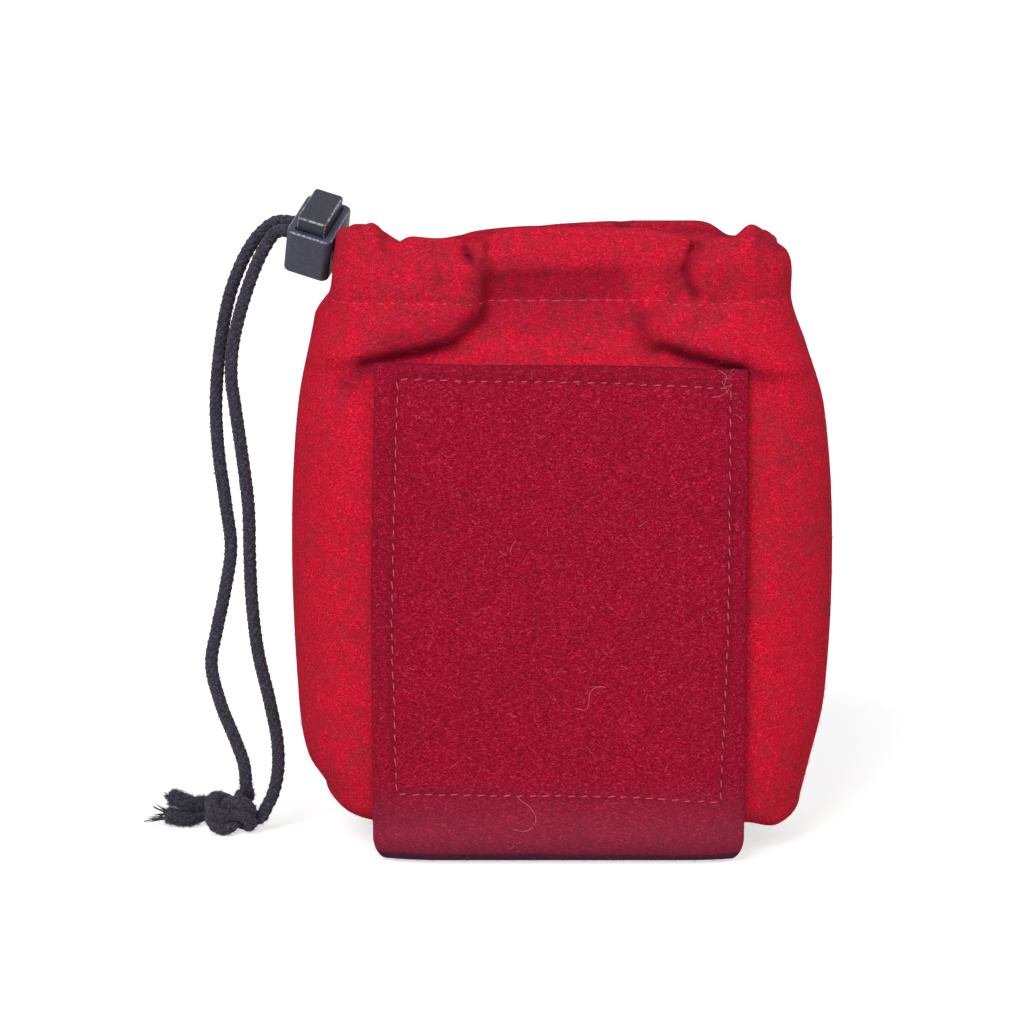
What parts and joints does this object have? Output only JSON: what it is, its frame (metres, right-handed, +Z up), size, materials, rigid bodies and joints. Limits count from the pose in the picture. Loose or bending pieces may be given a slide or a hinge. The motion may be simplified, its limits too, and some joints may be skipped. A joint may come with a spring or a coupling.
{
  "type": "drawstring pouch",
  "caption": "Soft cloth pouch on a folded felt strip, its gathered mouth closed by a drawstring with a push-button cord lock and knotted ends.",
  "frame": {"origin": "on the ground under the middle of the pouch, without the cord tails, the cord lock and the knot", "axes": "+X to the right seen from the front, +Y to the back, +Z up; the front faces -Y"},
  "size_m": [0.1598, 0.059, 0.1565],
  "materials": {
    "red_cloth": "napped melange wool cloth",
    "crimson_felt": "pressed felt, 3 mm",
    "black_cord": "braided cord, 3 mm",
    "black_plastic": "satin moulded, worn edges",
    "spring_steel": "drawn wire"
  },
  "bodies": {
    "root": {"front_body": "red_cloth", "back_body": "red_cloth", "felt_wrap": "crimson_felt", "drawstring_loop": "black_cord", "cord_tail_rear": "black_cord", "cord_tail_front": "black_cord", "cord_knot": "black_cord", "cord_end_upper": "black_cord", "cord_end_lower": "black_cord"},
    "cord_lock": {"lock_housing": "black_plastic", "lock_spring": "spring_steel"},
    "plunger": {"lock_plunger": "black_plastic"}
  },
  "joints": [
    {"name": "lock_slide", "type": "slide", "parent": "root", "child": "cord_lock", "axis": [-0.9372, 0.228, 0.2641], "range_m": [0, 0.003]},
    {"name": "button_press", "type": "slide", "parent": "cord_lock", "child": "plunger", "axis": [-0.108, 0.53, -0.8411], "range_m": [0, 0.0022], "stiffness_N_per_m": 500, "springref_m": -0.002, "deforming": ["lock_spring"]}
  ]
}
